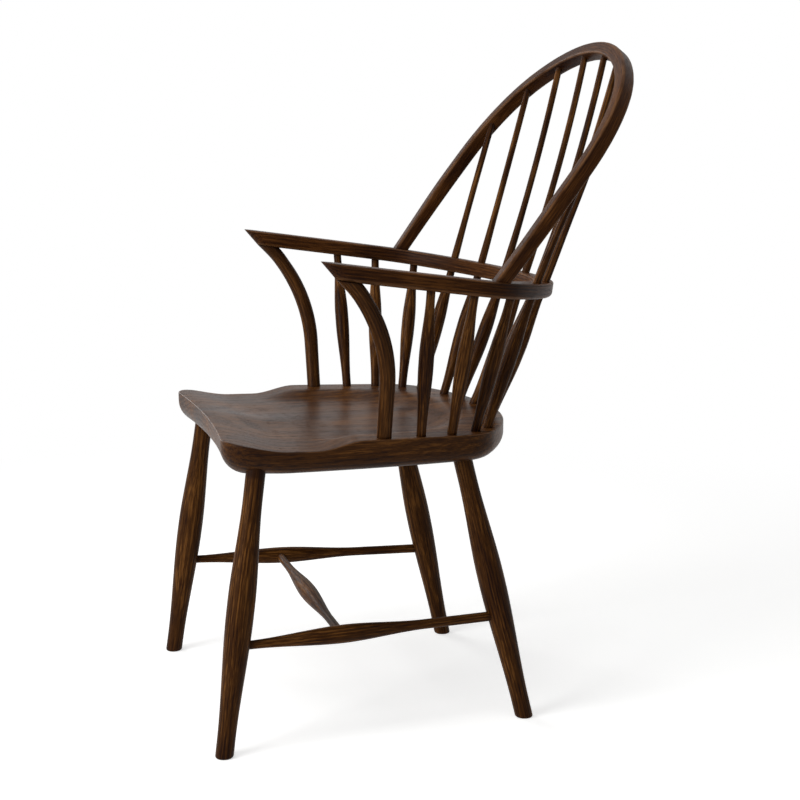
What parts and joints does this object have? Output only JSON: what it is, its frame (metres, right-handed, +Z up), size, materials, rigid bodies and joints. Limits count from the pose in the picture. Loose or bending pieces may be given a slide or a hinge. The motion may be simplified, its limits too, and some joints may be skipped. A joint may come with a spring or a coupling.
{
  "type": "captains chair",
  "caption": "Wooden hoop-back armchair: saddled plank seat on splayed turned legs with stretchers, spindles, a bent arm bow on curved supports and a tall bent hoop.",
  "frame": {"origin": "on the floor, below the middle of the chair's whole width and depth", "axes": "+X to the sitter's left, -Y the way the sitter faces, +Z up"},
  "size_m": [0.6172, 0.7128, 1.0578],
  "materials": {
    "seat_wood": "satin",
    "bent_wood": "satin",
    "support_wood": "satin",
    "turned_wood": "satin"
  },
  "bodies": {
    "root": {"arm_bow": "bent_wood", "arm_support_left": "support_wood", "arm_support_right": "support_wood", "cross_stretcher": "turned_wood", "hoop": "bent_wood", "leg_front_left": "turned_wood", "leg_front_right": "turned_wood", "leg_rear_left": "turned_wood", "leg_rear_right": "turned_wood", "long_spindle_left_1": "turned_wood", "long_spindle_left_2": "turned_wood", "long_spindle_left_3": "turned_wood", "long_spindle_left_4": "turned_wood", "long_spindle_right_1": "turned_wood", "long_spindle_right_2": "turned_wood", "long_spindle_right_3": "turned_wood", "long_spindle_right_4": "turned_wood", "seat": "seat_wood", "short_spindle_left_1": "turned_wood", "short_spindle_left_2": "turned_wood", "short_spindle_left_3": "turned_wood", "short_spindle_right_1": "turned_wood", "short_spindle_right_2": "turned_wood", "short_spindle_right_3": "turned_wood", "side_stretcher_left": "turned_wood", "side_stretcher_right": "turned_wood"}
  },
  "joints": []
}
